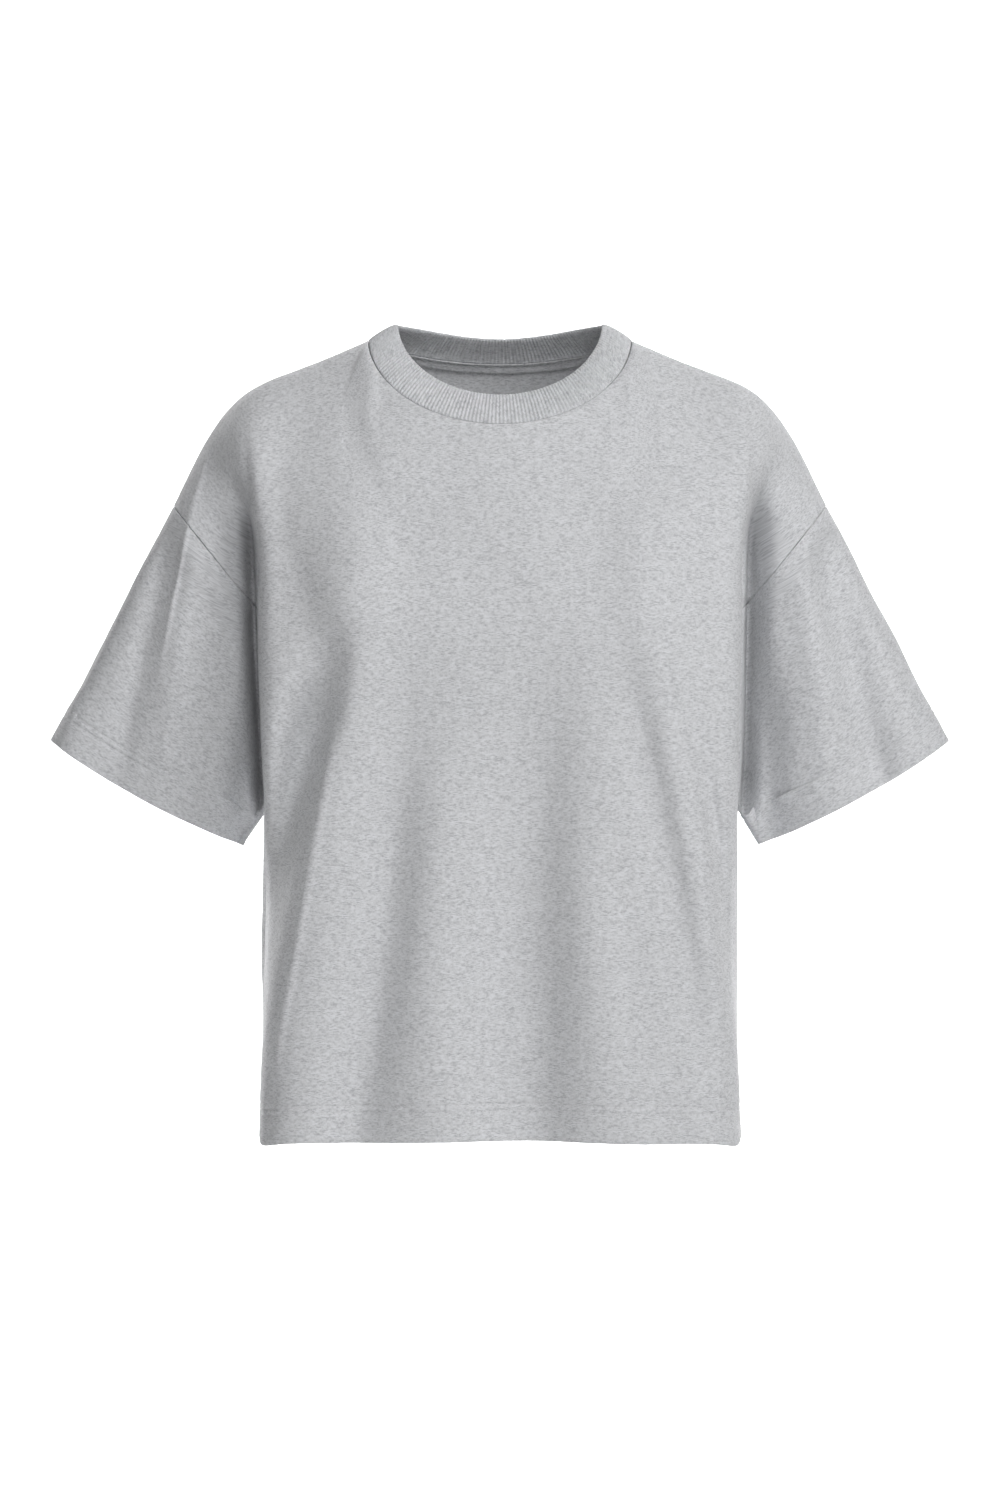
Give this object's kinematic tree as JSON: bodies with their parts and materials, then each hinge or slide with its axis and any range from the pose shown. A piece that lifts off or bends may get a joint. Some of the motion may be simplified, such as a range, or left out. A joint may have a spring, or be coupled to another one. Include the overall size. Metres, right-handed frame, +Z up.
{
  "type": "crew neck t-shirt",
  "caption": "Boxy short-sleeved t-shirt with dropped shoulders and a ribbed crew neck, filled out as worn, with soft drape folds and open neck, cuffs and hem.",
  "frame": {"origin": "midway between the two points where the shoulder seams meet the neckband, where a hanger or shoulders carry the shirt", "axes": "+X towards the wearer's left sleeve, +Y towards the back, -Y out of the front, +Z up"},
  "size_m": [0.674, 0.2611, 0.6105],
  "materials": {
    "front_jersey": "light grey heather jersey, matte",
    "back_jersey": "light grey heather jersey, matte",
    "sleeve_left_jersey": "light grey heather jersey, matte",
    "sleeve_right_jersey": "light grey heather jersey, matte",
    "neck_rib_knit": "light grey heather one by one rib knit, matte",
    "neck_tape_jersey": "grey heather jersey tape, matte"
  },
  "bodies": {
    "root": {"front": "front_jersey", "back": "back_jersey", "sleeve_left": "sleeve_left_jersey", "sleeve_right": "sleeve_right_jersey", "neck_rib": "neck_rib_knit", "neck_tape": "neck_tape_jersey"}
  },
  "joints": []
}
